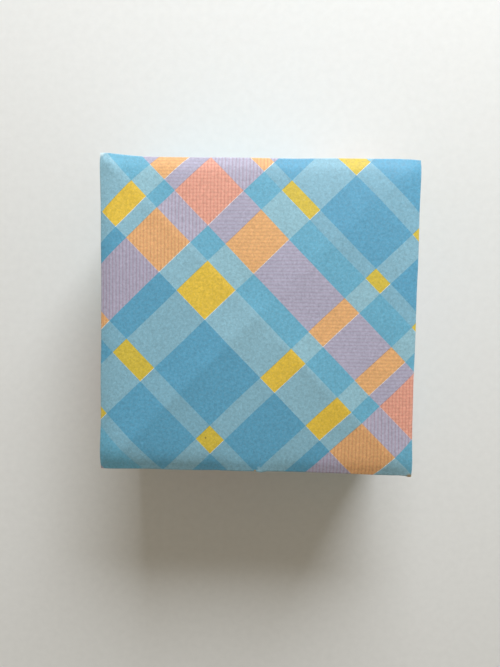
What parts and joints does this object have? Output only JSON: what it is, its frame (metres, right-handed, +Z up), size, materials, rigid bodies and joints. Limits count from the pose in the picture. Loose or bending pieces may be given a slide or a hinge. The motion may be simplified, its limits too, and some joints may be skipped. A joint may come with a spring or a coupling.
{
  "type": "masu box",
  "caption": "Open square paper box folded from one sheet, shown mouth down, with doubled walls and a striped plaid print.",
  "frame": {"origin": "middle of the box's footprint, on the surface that it stands on with its mouth down", "axes": "+Z up, out of the printed face of the base; X across the two side walls, which are two layers thick; Y across the two end walls, which are up to six layers thick"},
  "size_m": [0.0532, 0.0532, 0.0266],
  "materials": {
    "printed_paper": "matte"
  },
  "bodies": {
    "root": {"masu_box": "printed_paper"}
  },
  "joints": []
}
